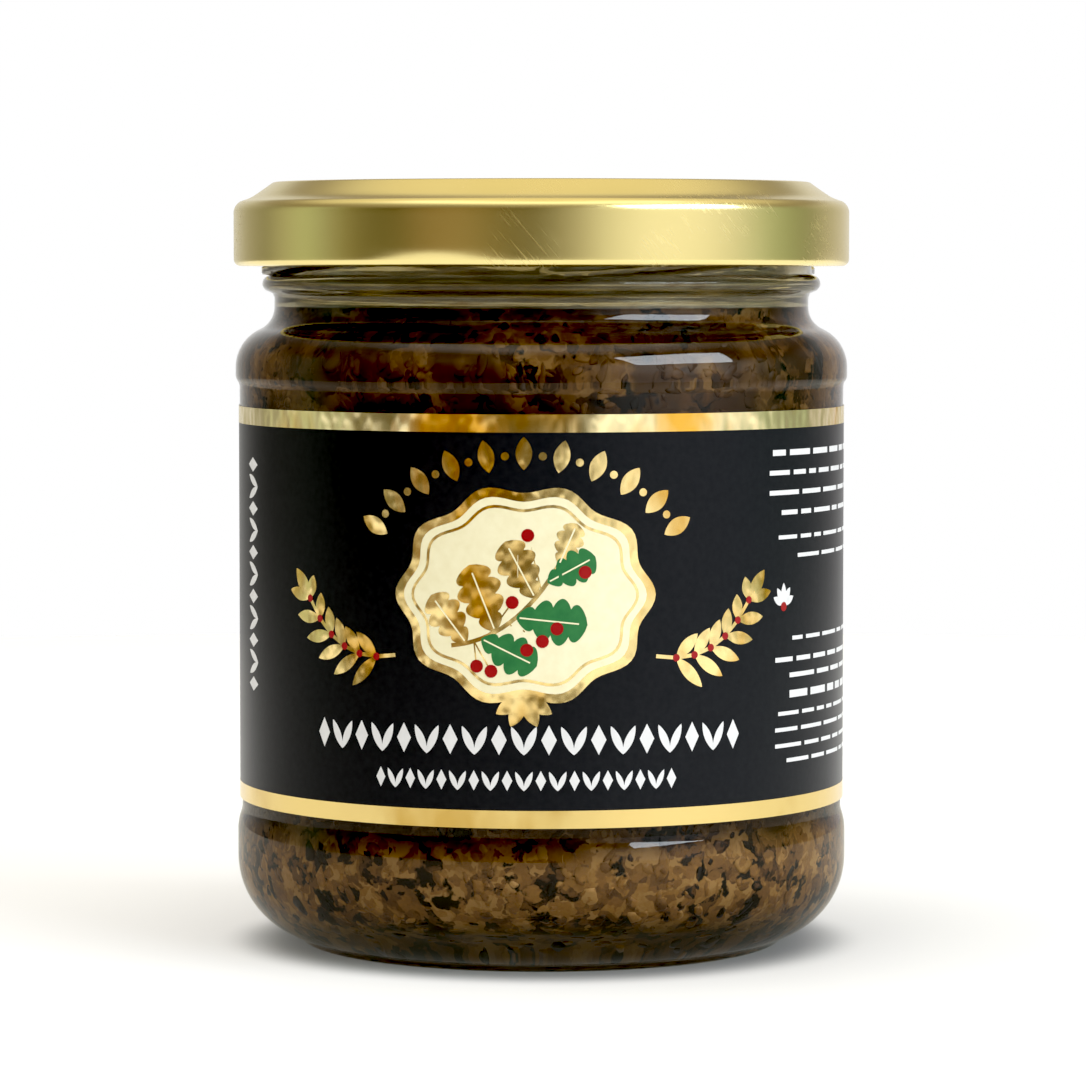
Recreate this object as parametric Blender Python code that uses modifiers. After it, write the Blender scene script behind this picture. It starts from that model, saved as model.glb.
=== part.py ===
"""Twist-off glass jar of ground black truffle, with its lid, gasket, label and contents.

Metres, +Z up, origin at the centre of the foot. The front of the label faces -Y.
Heights are measured from the foot and every turned outline is a list of (radius, height).
"""
import math

import bmesh
import bpy
from mathutils import Matrix

# Shared by every turned piece: facets round the axis, and the gap kept between pieces.
SEGMENTS = 56
GAP = 0.0003

# Glass jar, outside.
RIM_Z = 0.0810
FINISH_R = 0.0294
BORE_R = 0.0270
BEAD_R = 0.0304
BEAD_Z = 0.0718
BEAD_HALF = 0.0009
NECK_R = 0.0291
NECK_TOP_Z = 0.0707
NECK_LOW_Z = 0.0693
SHOULDER_R = 0.03335
SHOULDER_Z = 0.0627
SHOULDER_NECK_SHARE = 0.37
SHOULDER_BAND = 0.0008
SHOULDER_EASE_R = 0.0002
PANEL_R = 0.03245
PANEL_TOP_Z = 0.0604
PANEL_LOW_Z = 0.0132
HEEL_R = 0.03322
HEEL_TOP_Z = 0.0122
HEEL_Z = 0.0095
HEEL_ARC_R = 0.0091
HEEL_ARC_END_DEG = -72
FOOT_R = 0.0262
FOOT_INNER_R = 0.0242
FOOT_EDGE = 0.0003
PUSH_UP_Z = 0.0024
PUSH_UP_STEP = 0.0006
PUSH_UP_MID_R = 0.0145
PUSH_UP_MID_Z = 0.0018

# Glass jar, inside.
INNER_R = 0.0306
INNER_SHOULDER_Z = 0.0624
INNER_NECK_Z = 0.0684
INNER_HEEL_Z = 0.0112
INNER_HEEL_ARC_R = 0.0066
INNER_NECK_SHARE = 0.66
FLOOR_CENTRE_Z = 0.0056
FLOOR_MID_R = 0.0138
FLOOR_MID_Z = 0.0050

# Right-handed thread ramps on the finish, one for each lug.
RAMP_COUNT = 4
RAMP_SPAN_DEG = 100
RAMP_LEAD = 0.0140
RAMP_START_Z = 0.07275
RAMP_BEAD_R = 0.00085
RAMP_CENTRE_R = 0.0300
RAMP_END_R = 0.0294
RAMP_END_SIZE = 0.4
RAMP_RUN_IN_DEG = 14
RAMP_POINTS = 15

# Lid.
LID_R = 0.0335
LID_TOP_Z = 0.0828
LID_LOW_Z = 0.0737
LID_THICK = 0.0004
SHOULDER_STEP_Z = 0.0809
SHOULDER_STEP_R = 0.0316
LID_CORNER_R = 0.0008
STEP_EASE = 0.0002
RING_OUTER_R = 0.0285
RING_EASE_R = 0.0297
STEP_TOP_R = 0.0308
STEP_TOP_Z = 0.0819
RING_INNER_R = 0.0256
PANEL_DROP = 0.0009
LID_PANEL_R = 0.0246
BUTTON_R = 0.0100
BUTTON_EDGE_R = 0.0115
BUTTON_DROP = 0.00035
CURL_R = 0.00075
CURL_TURN_DEG = -240
LUG_ANGLE_DEG = -18
LUG_WIDTH = 0.0070
LUG_INNER_R = 0.0303
LUG_OUTER_R = 0.0326
LUG_THICK = 0.0005
LUG_CORNER_R = 0.0006

# Gasket, label and contents.
GASKET_INNER_R = 0.0266
GASKET_OUTER_R = 0.0294
LABEL_R = 0.0330
LABEL_THICK = 0.00027
LABEL_LOW_Z = 0.0159
LABEL_TOP_Z = 0.0584
FILL_Z = 0.0696
FILL_EDGE_R = 0.0258
FILL_EDGE_DROP = 0.0006
CRUMB_DEPTH = 0.0008
CRUMB_SIZE = 0.0040
CRUMB_CONTRAST = 1.6
CONTENTS_SEGMENTS = 60
CONTENTS_PITCH = 0.0032


def clear_scene():
    for old in list(bpy.data.objects):
        bpy.data.objects.remove(old, do_unlink=True)


def make_collection(name):
    collection = bpy.data.collections.new(name)
    bpy.context.scene.collection.children.link(collection)
    return collection


def make_material(name, colour, roughness, metallic=0.0, transmission=0.0):
    material = bpy.data.materials.new(name)
    material.use_nodes = True
    shader = material.node_tree.nodes["Principled BSDF"]
    shader.inputs["Base Color"].default_value = (*colour, 1.0)
    shader.inputs["Roughness"].default_value = roughness
    shader.inputs["Metallic"].default_value = metallic
    shader.inputs["Transmission Weight"].default_value = transmission
    return material


def arc(centre_r, centre_z, radius, start_deg, end_deg, steps):
    """Points of a circular arc, its ends included."""
    points = []
    for step in range(steps + 1):
        angle = math.radians(start_deg + (end_deg - start_deg) * step / steps)
        points.append((centre_r + radius * math.cos(angle), centre_z + radius * math.sin(angle)))
    return points


def shoulder_curve(neck_r, neck_z, body_r, body_z, neck_share, steps):
    """Two arcs that meet in one slope, upright where the curve leaves neck and body."""
    across, down = body_r - neck_r, neck_z - body_z
    radii = (across ** 2 + down ** 2) / (2 * across)
    neck_arc_r = radii * neck_share
    body_arc_r = radii - neck_arc_r
    turn = math.degrees(math.asin(down / radii))
    neck_arc = arc(neck_r + neck_arc_r, neck_z, neck_arc_r, 180, 180 + turn, steps)
    body_arc = arc(body_r - body_arc_r, body_z, body_arc_r, turn, 0, steps)
    return neck_arc + body_arc[1:]


def turn_profile(name, outline, material, collection, closed=False, segments=SEGMENTS):
    """A solid of revolution about Z. The outline runs down the outer side."""
    mesh = bpy.data.meshes.new(name)
    edges = [(i, i + 1) for i in range(len(outline) - 1)]
    if closed:
        edges.append((len(outline) - 1, 0))
    mesh.from_pydata([(r, 0.0, z) for r, z in outline], edges, [])
    turned = bpy.data.objects.new(name, mesh)
    turned.data.materials.append(material)
    collection.objects.link(turned)
    screw = turned.modifiers.new("Turned", "SCREW")
    screw.steps = segments
    screw.render_steps = segments
    screw.use_merge_vertices = True
    screw.merge_threshold = 0.00001
    screw.use_smooth_shade = True
    return turned


def join_by_union(target, tool):
    """Fuse a moulded or formed detail into the piece that it grows from."""
    union = target.modifiers.new(tool.name, "BOOLEAN")
    union.operation = "UNION"
    union.object = tool
    tool.hide_render = True
    tool.display_type = "WIRE"


def jar_outside():
    rim_r = (FINISH_R - BORE_R) / 2
    rim = arc(BORE_R + rim_r, RIM_Z - rim_r, rim_r, 180, 0, 4)
    bead = [
        (FINISH_R, BEAD_Z + BEAD_HALF),
        (BEAD_R, BEAD_Z + BEAD_HALF / 2),
        (BEAD_R, BEAD_Z - BEAD_HALF / 2),
        (NECK_R, NECK_TOP_Z),
    ]
    shoulder = shoulder_curve(NECK_R, NECK_LOW_Z, SHOULDER_R, SHOULDER_Z, SHOULDER_NECK_SHARE, 3)
    panel = [
        (SHOULDER_R, SHOULDER_Z - SHOULDER_BAND),
        (SHOULDER_R - SHOULDER_EASE_R, SHOULDER_Z - 2 * SHOULDER_BAND),
        (PANEL_R, PANEL_TOP_Z),
        (PANEL_R, PANEL_LOW_Z),
        (HEEL_R, HEEL_TOP_Z),
    ]
    heel = arc(HEEL_R - HEEL_ARC_R, HEEL_Z, HEEL_ARC_R, 0, HEEL_ARC_END_DEG, 6)
    foot = [
        (FOOT_R, FOOT_EDGE),
        (FOOT_R - FOOT_EDGE, 0.0),
        (FOOT_INNER_R, 0.0),
        (FOOT_INNER_R - 2 * PUSH_UP_STEP, PUSH_UP_STEP),
        (PUSH_UP_MID_R, PUSH_UP_MID_Z),
        (0.0, PUSH_UP_Z),
    ]
    return rim + bead + shoulder + panel + heel + foot


def jar_inside(shrink, neck_top_z):
    """The jar's inner wall from the floor's centre up, or the same wall moved in by shrink."""
    floor = [(0.0, FLOOR_CENTRE_Z + shrink), (FLOOR_MID_R, FLOOR_MID_Z + shrink)]
    arc_r = INNER_HEEL_ARC_R - shrink
    heel = arc(INNER_R - INNER_HEEL_ARC_R, INNER_HEEL_Z, arc_r, -90, 0, 5)
    wall_r, bore_r = INNER_R - shrink, BORE_R - shrink
    shoulder = shoulder_curve(bore_r, INNER_NECK_Z, wall_r, INNER_SHOULDER_Z, INNER_NECK_SHARE, 3)
    return floor + heel + shoulder[::-1] + [(bore_r, neck_top_z)]


def thread_ramp(index, collection):
    """One glass thread: a bead on a helix that runs into the wall at both ends."""
    curve = bpy.data.curves.new(f"ThreadRamp{index}", "CURVE")
    curve.dimensions = "3D"
    curve.bevel_depth = RAMP_BEAD_R
    curve.bevel_resolution = 2
    curve.use_fill_caps = True
    curve.render_resolution_u = 0
    spline = curve.splines.new("POLY")
    spline.points.add(RAMP_POINTS - 1)
    first_deg = index * 360 / RAMP_COUNT
    for number, point in enumerate(spline.points):
        along_deg = RAMP_SPAN_DEG * number / (RAMP_POINTS - 1)
        to_end_deg = min(along_deg, RAMP_SPAN_DEG - along_deg)
        swell = min(1.0, to_end_deg / RAMP_RUN_IN_DEG)
        swell = swell * swell * (3 - 2 * swell)
        angle = math.radians(first_deg + along_deg)
        centre_r = RAMP_END_R + (RAMP_CENTRE_R - RAMP_END_R) * swell
        height = RAMP_START_Z + RAMP_LEAD * along_deg / 360
        point.co = (centre_r * math.sin(angle), -centre_r * math.cos(angle), height, 1.0)
        point.radius = RAMP_END_SIZE + (1 - RAMP_END_SIZE) * swell
    guide = bpy.data.objects.new(curve.name, curve)
    collection.objects.link(guide)
    return curve_to_mesh(guide, collection)


def curve_to_mesh(guide, collection):
    """A closed mesh of a bevelled curve, its caps welded on. The curve is removed."""
    bpy.context.view_layer.update()
    evaluated = guide.evaluated_get(bpy.context.evaluated_depsgraph_get())
    mesh = bpy.data.meshes.new_from_object(evaluated)
    shape = bmesh.new()
    shape.from_mesh(mesh)
    bmesh.ops.remove_doubles(shape, verts=shape.verts, dist=0.000005)
    bmesh.ops.recalc_face_normals(shape, faces=shape.faces)
    shape.to_mesh(mesh)
    shape.free()
    solid = bpy.data.objects.new(guide.name + "Solid", mesh)
    solid.matrix_world = guide.matrix_world
    collection.objects.link(solid)
    bpy.data.objects.remove(guide, do_unlink=True)
    return solid


def build_jar(parts, tools):
    glass = make_material("ClearGlass", (0.90, 0.93, 0.88), 0.03, transmission=1.0)
    inside = jar_inside(0.0, RIM_Z - (FINISH_R - BORE_R) / 2)
    jar = turn_profile("glass_jar", inside + jar_outside()[1:], glass, parts)
    for index in range(RAMP_COUNT):
        join_by_union(jar, thread_ramp(index, tools))
    return jar


def lid_outline():
    panel_z = LID_TOP_Z - PANEL_DROP
    button_z = panel_z - BUTTON_DROP
    corner_r, corner_z = LID_R - LID_CORNER_R, SHOULDER_STEP_Z - LID_CORNER_R
    pressed_top = [
        (0.0, (panel_z + button_z) / 2),
        (BUTTON_R, button_z),
        (BUTTON_EDGE_R, panel_z),
        (LID_PANEL_R, panel_z),
        (RING_INNER_R, LID_TOP_Z),
        (RING_OUTER_R, LID_TOP_Z),
        (RING_EASE_R, LID_TOP_Z - STEP_EASE),
        (STEP_TOP_R, STEP_TOP_Z),
        (SHOULDER_STEP_R, SHOULDER_STEP_Z + STEP_EASE),
        (SHOULDER_STEP_R + STEP_EASE, SHOULDER_STEP_Z),
    ]
    under_top = [(0.0, pressed_top[0][1] - LID_THICK)]
    for r, z in pressed_top[1:]:
        lean = STEP_EASE if r < RING_OUTER_R else -STEP_EASE
        under_top.append((r + lean, z - LID_THICK))
    corner = arc(corner_r, corner_z, LID_CORNER_R, 90, 0, 3)
    curl = arc(LID_R - CURL_R, LID_LOW_Z + CURL_R, CURL_R, 0, CURL_TURN_DEG, 7)
    skirt_inside = [
        (LID_R - LID_THICK, LID_LOW_Z + 2 * CURL_R + LID_THICK),
        (LID_R - LID_THICK, corner_z),
        (corner_r, SHOULDER_STEP_Z - LID_THICK),
    ]
    return pressed_top + corner + curl + skirt_inside + under_top[::-1]


def lid_lug(index, collection):
    """A flat tab formed inwards out of the curl, which slides under a thread ramp."""
    shape = bmesh.new()
    depth = LUG_OUTER_R - LUG_INNER_R
    middle = ((LUG_OUTER_R + LUG_INNER_R) / 2, 0.0, LID_LOW_Z + LUG_THICK / 2)
    bmesh.ops.create_cube(shape, size=1.0)
    bmesh.ops.scale(shape, vec=(depth, LUG_WIDTH, LUG_THICK), verts=shape.verts)
    upright = [edge for edge in shape.edges if edge.verts[0].co.z * edge.verts[1].co.z < 0]
    bmesh.ops.bevel(shape, geom=upright, offset=LUG_CORNER_R, segments=2, profile=0.5,
                    affect="EDGES", material=-1)
    bmesh.ops.translate(shape, vec=middle, verts=shape.verts)
    turn = math.radians(LUG_ANGLE_DEG - 90 + index * 360 / RAMP_COUNT)
    bmesh.ops.rotate(shape, cent=(0, 0, 0), matrix=Matrix.Rotation(turn, 3, "Z"), verts=shape.verts)
    mesh = bpy.data.meshes.new(f"Lug{index}")
    shape.to_mesh(mesh)
    shape.free()
    lug = bpy.data.objects.new(mesh.name, mesh)
    collection.objects.link(lug)
    return lug


def build_lid(parts, tools):
    gold = make_material("GoldLacqueredTinplate", (0.60, 0.47, 0.20), 0.28, metallic=1.0)
    lid = turn_profile("lid", lid_outline(), gold, parts)
    for index in range(RAMP_COUNT):
        join_by_union(lid, lid_lug(index, tools))
    return lid


def build_gasket(parts):
    compound = make_material("SealingCompound", (0.72, 0.66, 0.50), 0.55)
    top_z = LID_TOP_Z - LID_THICK - GAP
    outline = [
        (GASKET_INNER_R, top_z),
        (RING_OUTER_R, top_z),
        (GASKET_OUTER_R, top_z - GAP),
        (GASKET_OUTER_R, RIM_Z + GAP),
        (GASKET_INNER_R, RIM_Z + GAP),
    ]
    return turn_profile("sealing_gasket", outline, compound, parts, closed=True)


def build_label(parts):
    paper = make_material("CoatedPaper", (0.012, 0.013, 0.015), 0.35)
    inner_r = LABEL_R - LABEL_THICK
    outline = [
        (LABEL_R, LABEL_TOP_Z),
        (LABEL_R, LABEL_LOW_Z),
        (inner_r, LABEL_LOW_Z),
        (inner_r, LABEL_TOP_Z),
    ]
    return turn_profile("label", outline, paper, parts, closed=True)


def spaced_outline(outline, pitch):
    """The same outline with its long stretches cut into runs of about one pitch."""
    points = [outline[0]]
    for (r0, z0), (r1, z1) in zip(outline, outline[1:]):
        runs = max(1, round(math.hypot(r1 - r0, z1 - z0) / pitch))
        for run in range(1, runs + 1):
            share = run / runs
            points.append((r0 + (r1 - r0) * share, z0 + (z1 - z0) * share))
    return points


def build_contents(parts):
    """The packed mass: the jar's inside less the gap, with crumbs standing out of its surface."""
    truffle = make_material("GroundTruffle", (0.13, 0.065, 0.022), 0.35)
    inside = jar_inside(GAP, FILL_Z - FILL_EDGE_DROP)
    outline = [(0.0, FILL_Z), (FILL_EDGE_R, FILL_Z)] + inside[::-1]
    mass = turn_profile("ground_truffle", spaced_outline(outline, CONTENTS_PITCH), truffle, parts,
                        segments=CONTENTS_SEGMENTS)
    crumbs = bpy.data.textures.new("Crumbs", "VORONOI")
    crumbs.noise_scale = CRUMB_SIZE
    crumbs.distance_metric = "DISTANCE"
    crumbs.noise_intensity = CRUMB_CONTRAST
    relief = mass.modifiers.new("CrumbRelief", "DISPLACE")
    relief.texture = crumbs
    relief.texture_coords = "LOCAL"
    relief.mid_level = 0.0
    relief.strength = -CRUMB_DEPTH
    return mass


def main():
    clear_scene()
    parts = make_collection("TruffleJar")
    tools = make_collection("Construction")
    build_jar(parts, tools)
    build_lid(parts, tools)
    build_gasket(parts)
    build_label(parts)
    build_contents(parts)


main()
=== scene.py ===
"""Looks of a twist-off glass jar of ground black truffle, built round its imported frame.

Sizes of the jar are in millimetres and angles in degrees; MM turns them into Blender's
metres, in which the studio and the camera are given. Heights are above the jar's foot, and
turned outlines are lists of (radius, height). An angle round the jar counts from the
label's front, -Y, towards +X.
"""
import math
import random

import bmesh
import bpy
from mathutils import Matrix, Vector, noise


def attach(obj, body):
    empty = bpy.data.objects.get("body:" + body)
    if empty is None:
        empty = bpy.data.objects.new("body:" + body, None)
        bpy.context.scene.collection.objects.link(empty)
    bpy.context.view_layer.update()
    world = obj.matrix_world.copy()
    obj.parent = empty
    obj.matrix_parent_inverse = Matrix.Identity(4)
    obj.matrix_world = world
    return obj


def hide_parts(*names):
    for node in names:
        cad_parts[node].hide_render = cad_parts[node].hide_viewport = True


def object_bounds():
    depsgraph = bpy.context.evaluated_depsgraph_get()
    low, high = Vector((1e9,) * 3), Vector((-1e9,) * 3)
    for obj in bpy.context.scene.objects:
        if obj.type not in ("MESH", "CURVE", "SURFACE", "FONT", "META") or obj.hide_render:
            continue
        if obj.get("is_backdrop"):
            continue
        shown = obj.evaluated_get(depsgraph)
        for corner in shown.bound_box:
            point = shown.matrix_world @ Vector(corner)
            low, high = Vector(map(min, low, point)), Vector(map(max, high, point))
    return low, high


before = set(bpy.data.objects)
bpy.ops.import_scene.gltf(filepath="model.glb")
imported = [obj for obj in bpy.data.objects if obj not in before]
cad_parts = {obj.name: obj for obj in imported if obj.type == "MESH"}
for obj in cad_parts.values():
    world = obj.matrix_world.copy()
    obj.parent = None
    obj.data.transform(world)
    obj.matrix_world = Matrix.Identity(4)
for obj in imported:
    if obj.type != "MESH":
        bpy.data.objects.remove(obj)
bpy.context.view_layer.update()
MM = 0.001

# The jar: one piece of clear soda-lime glass, blown in a mould. Its finish carries four
# right-handed thread ramps, and below them come the transfer bead, neck, shoulder, a
# label panel set between two beads, the heel and a narrow ring that it stands on.
RIM_Z, FINISH_R, BORE_R = 81.0, 29.4, 27.0
RAMP_ZONE = (72.75, 79.4)
RAMP_ROW = 0.2
NECK_R, NECK_Z = 29.1, 69.3
SHOULDER_R, SHOULDER_Z = 33.35, 62.7
PANEL_R, PANEL_TOP_Z, PANEL_LOW_R, PANEL_LOW_Z = 32.93, 60.6, 32.76, 15.0
HEEL_R, HEEL_TOP_Z, HEEL_Z, HEEL_ARC_R = 33.25, 12.2, 9.5, 9.1
INNER_R, INNER_NECK_Z, INNER_SHOULDER_Z = 30.6, 68.4, 62.4
INNER_HEEL_Z, INNER_HEEL_ARC_R = 11.9, 6.2
FLOOR_Z = 6.2
RAMP_COUNT, RAMP_SPAN, RAMP_LEAD = 4, 100.0, 14.0
RAMP_HIGH, RAMP_HALF, RAMP_EDGE, RAMP_RUN_IN = 1.6, 0.85, 0.55, 15.0
GLASS_STEPS = 240
OUTSIDE_FROM_R, WAVE_HIGH, WAVE_SIZE = 28.0, 0.02, 7.0


def arc(centre_r, centre_z, radius, start, end, steps):
    points = []
    for step in range(steps + 1):
        turn = math.radians(start + (end - start) * step / steps)
        points.append((centre_r + radius * math.cos(turn), centre_z + radius * math.sin(turn)))
    return points


def two_arcs(top_r, top_z, low_r, low_z, top_share, steps):
    """An upright line swinging over to another one further out, lower down."""
    across, down = low_r - top_r, top_z - low_z
    radii = (across ** 2 + down ** 2) / (2 * across)
    top_arc_r = radii * top_share
    low_arc_r = radii - top_arc_r
    turn = math.degrees(math.asin(down / radii))
    upper = arc(top_r + top_arc_r, top_z, top_arc_r, 180, 180 + turn, steps)
    return upper + arc(low_r - low_arc_r, low_z, low_arc_r, turn, 0, steps)[1:]


def upside_down(points):
    """The same curve with its top and foot changed over."""
    ends = points[0][1] + points[-1][1]
    return [(r, ends - z) for r, z in reversed(points)]


def smooth_step(share):
    share = min(1.0, max(0.0, share))
    return share * share * (3 - 2 * share)


def spin_outline(outline, steps, closed=False):
    """A turned shape from an outline in millimetres, its faces pointing out of the material."""
    shape = bmesh.new()
    line = [shape.verts.new((r * MM, 0.0, z * MM)) for r, z in outline]
    pairs = list(zip(line, line[1:]))
    if closed:
        pairs.append((line[-1], line[0]))
    edges = [shape.edges.new(pair) for pair in pairs]
    bmesh.ops.spin(shape, geom=line + edges, cent=(0, 0, 0), axis=(0, 0, 1), dvec=(0, 0, 0),
                   angle=math.tau, steps=steps, use_merge=True, use_duplicate=False)
    bmesh.ops.remove_doubles(shape, verts=shape.verts, dist=0.0001 * MM)
    bmesh.ops.recalc_face_normals(shape, faces=shape.faces)
    return shape


def angle_round_jar(point):
    return math.degrees(math.atan2(point.x, -point.y))


def finish_piece(name, shape, material, body, node=None, sharp=40):
    """Turn a bmesh into a shaded object that rides on a body."""
    mesh = bpy.data.meshes.new(name)
    shape.to_mesh(mesh)
    shape.free()
    mesh.shade_smooth()
    mesh.set_sharp_from_angle(angle=math.radians(sharp))
    piece = bpy.data.objects.new(name, mesh)
    bpy.context.scene.collection.objects.link(piece)
    mesh.materials.append(material)
    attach(piece, body)
    if node:
        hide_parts(node)


def add_node(tree, kind, inputs=None, **settings):
    made = tree.nodes.new(kind)
    for key, value in settings.items():
        setattr(made, key, value)
    for socket, value in (inputs or {}).items():
        if isinstance(value, bpy.types.NodeSocket):
            tree.links.new(value, made.inputs[socket])
        else:
            made.inputs[socket].default_value = value
    return made


def new_material(name):
    material = bpy.data.materials.new(name)
    material.use_nodes = True
    tree = material.node_tree
    return material, tree, tree.nodes["Principled BSDF"]


def glass_inside(grow):
    """The jar's inner wall from the floor's centre up to the bore, moved out by grow."""
    heel_arc_r = INNER_HEEL_ARC_R + grow
    floor_edge = (INNER_R - INNER_HEEL_ARC_R, INNER_HEEL_Z - heel_arc_r)
    floor = [(0.0, FLOOR_Z - grow), (floor_edge[0] * 0.6, FLOOR_Z - grow - 0.2)]
    heel = arc(floor_edge[0], INNER_HEEL_Z, heel_arc_r, -90, 0, 12)
    shoulder = two_arcs(BORE_R + grow, INNER_NECK_Z, INNER_R + grow, INNER_SHOULDER_Z, 0.66, 9)
    return floor + heel + shoulder[::-1]


def glass_outside():
    rim_r = (FINISH_R - BORE_R) / 2
    rim = arc(BORE_R + rim_r, RIM_Z - rim_r, rim_r, 180, 0, 12)
    rows = round((RAMP_ZONE[1] - RAMP_ZONE[0]) / RAMP_ROW)
    finish = [(FINISH_R, RAMP_ZONE[1] - RAMP_ROW * row) for row in range(rows + 1)]
    bead = arc(29.5, 71.8, 0.9, 75, -60, 9) + [(29.3, 70.75), (NECK_R, 70.3)]
    shoulder = two_arcs(NECK_R, NECK_Z, SHOULDER_R, SHOULDER_Z, 0.37, 14)
    to_panel = upside_down(two_arcs(PANEL_R, SHOULDER_Z - 0.8, SHOULDER_R, PANEL_TOP_Z, 0.5, 6))
    to_heel = two_arcs(PANEL_LOW_R, PANEL_LOW_Z, HEEL_R, HEEL_TOP_Z, 0.29, 7)
    heel = arc(HEEL_R - HEEL_ARC_R, HEEL_Z, HEEL_ARC_R, 0, -73, 20)
    foot = [(26.5, 0.55), (26.3, 0.25), (25.9, 0.03), (25.5, 0.0), (24.4, 0.0), (24.0, 0.06)]
    push_up = [(23.3, 0.5), (22.2, 0.95), (19.0, 1.4), (14.5, 1.8), (8.0, 2.2), (0.0, 2.4)]
    return rim + finish + bead + shoulder + to_panel + to_heel + heel + foot + push_up


def ramp_swell(angle, height):
    """How far the thread ramps stand out of the finish at this place, from 0 to 1."""
    most = 0.0
    for ramp in range(RAMP_COUNT):
        along = (angle - ramp * 360 / RAMP_COUNT) % 360
        if along > RAMP_SPAN:
            continue
        centre = RAMP_ZONE[0] + RAMP_LEAD * along / 360
        run_in = smooth_step(min(along, RAMP_SPAN - along) / RAMP_RUN_IN)
        flank = smooth_step((RAMP_HALF - abs(height - centre)) / RAMP_EDGE)
        most = max(most, run_in * flank)
    return most


def mould_glass(shape):
    """Raise the thread ramps, and give the outside the slight waves of moulded glass."""
    for vert in shape.verts:
        radius, height = vert.co.xy.length / MM, vert.co.z / MM
        if radius < OUTSIDE_FROM_R:
            continue
        grow = 0.0
        if abs(radius - FINISH_R) < 0.01 and RAMP_ZONE[0] - 0.1 < height < RAMP_ZONE[1] + 0.1:
            grow = RAMP_HIGH * ramp_swell(angle_round_jar(vert.co), height)
        if height > 2.0 and radius > 28.9 and vert.normal.xy.dot(vert.co.xy) > 0:
            grow += WAVE_HIGH * noise.noise(vert.co / (WAVE_SIZE * MM))
        vert.co.xy *= (radius + grow) / radius


clear_glass, tree, shader = new_material("clear_glass")
shader.inputs["Base Color"].default_value = (0.955, 0.975, 0.945, 1.0)
shader.inputs["Transmission Weight"].default_value = 1.0
shader.inputs["Roughness"].default_value = 0.0
shader.inputs["IOR"].default_value = 1.52
light_path = add_node(tree, "ShaderNodeLightPath")
for_shadows = add_node(tree, "ShaderNodeBsdfTransparent", {"Color": (0.92, 0.94, 0.91, 1.0)})
lit_through = add_node(tree, "ShaderNodeMixShader", {
    0: light_path.outputs["Is Shadow Ray"], 1: shader.outputs[0], 2: for_shadows.outputs[0]})
tree.links.new(lit_through.outputs[0], tree.nodes["Material Output"].inputs["Surface"])

jar_shape = spin_outline(glass_inside(0.0) + glass_outside(), GLASS_STEPS)
mould_glass(jar_shape)
finish_piece("jar_glass", jar_shape, clear_glass, "jar", "glass_jar", sharp=60)

# The ground truffle: fine crumbs of brown flesh and black peel, packed into the jar wet
# with oil, so that they lie flat against the glass with dark oil between them. The mass
# is one body, and the larger crumbs stand a little out of it, pressed on the glass.
FILL_Z = 69.6
MASS_GROW, MASS_RELIEF = 0.03, 0.12
MASS_STEPS, MASS_PITCH = 300, 0.75
LUMP_SIZE, GRAIN_SIZE, TOP_RELIEF = 2.6, 0.9, 0.6


def spaced(outline, pitch):
    points = [outline[0]]
    for (r0, z0), (r1, z1) in zip(outline, outline[1:]):
        runs = max(1, round(math.hypot(r1 - r0, z1 - z0) / pitch))
        points += [(r0 + (r1 - r0) * run / runs, z0 + (z1 - z0) * run / runs)
                   for run in range(1, runs + 1)]
    return points


def colour_ramp(tree, share, stops):
    """A colour ramp that is fed by a socket and has these stops."""
    made = add_node(tree, "ShaderNodeValToRGB", {"Fac": share})
    ramp = made.color_ramp
    ramp.elements[0].position, ramp.elements[1].position = stops[0][0], stops[-1][0]
    for position, _ in stops[1:-1]:
        ramp.elements.new(position)
    for element, (_, colour) in zip(ramp.elements, stops):
        element.color = (*colour, 1.0)
    return made


SCRAP_TONES = [(0.20, (0.010, 0.009, 0.008)), (0.36, (0.013, 0.010, 0.008)),
               (0.40, (0.085, 0.040, 0.018)), (0.52, (0.15, 0.073, 0.027)),
               (0.66, (0.225, 0.108, 0.035)), (0.78, (0.30, 0.150, 0.042)),
               (0.90, (0.40, 0.22, 0.075))]
OIL_TONE, PEEL_TONE = (0.040, 0.018, 0.006, 1.0), (0.008, 0.006, 0.004, 1.0)
BOTTOM_TONE, BOTTOM_ZONE = (0.060, 0.048, 0.022, 1.0), (6.4, 5.0)
# How much of the scraps the oil hides, by the share of the fill's height. Higher up this is the
# darker oil; its steep rise just under the label's lower edge is painted shade of the label.
OIL_AND_LABEL_SHADE_LEVELS = [(0.140, (0.12, 0.12, 0.12)), (0.176, (0.38, 0.38, 0.38)),
              (0.197, (0.96, 0.96, 0.96)), (0.80, (1.0, 1.0, 1.0))]


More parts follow.
